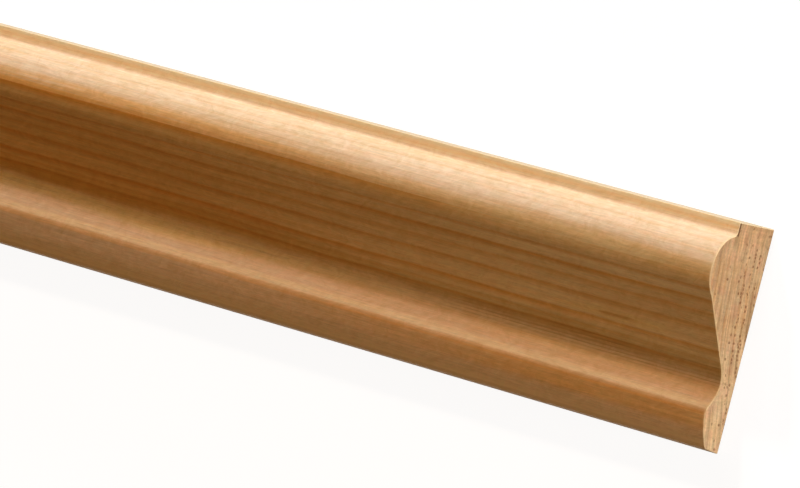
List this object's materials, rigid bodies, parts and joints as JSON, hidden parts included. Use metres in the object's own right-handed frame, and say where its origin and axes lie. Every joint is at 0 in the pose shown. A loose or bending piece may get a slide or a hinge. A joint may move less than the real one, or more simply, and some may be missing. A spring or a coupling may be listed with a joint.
{
  "type": "profile moulding strip",
  "caption": "Straight length of solid pine decorative moulding with a thick square edge, a narrow flat, a full round, a hollow and a bead towards the thin edge, and a flat back.",
  "frame": {"origin": "centre of the flat back, halfway along the strip and halfway across it", "axes": "+X along the length towards the cut end seen in the picture; +Y from the thin edge to the thick edge; +Z out of the back, up through the moulded face"},
  "size_m": [2.4, 0.028, 0.012],
  "materials": {
    "pine": "planed bare pine, unvarnished"
  },
  "bodies": {
    "root": {"moulding": "pine"}
  },
  "joints": []
}
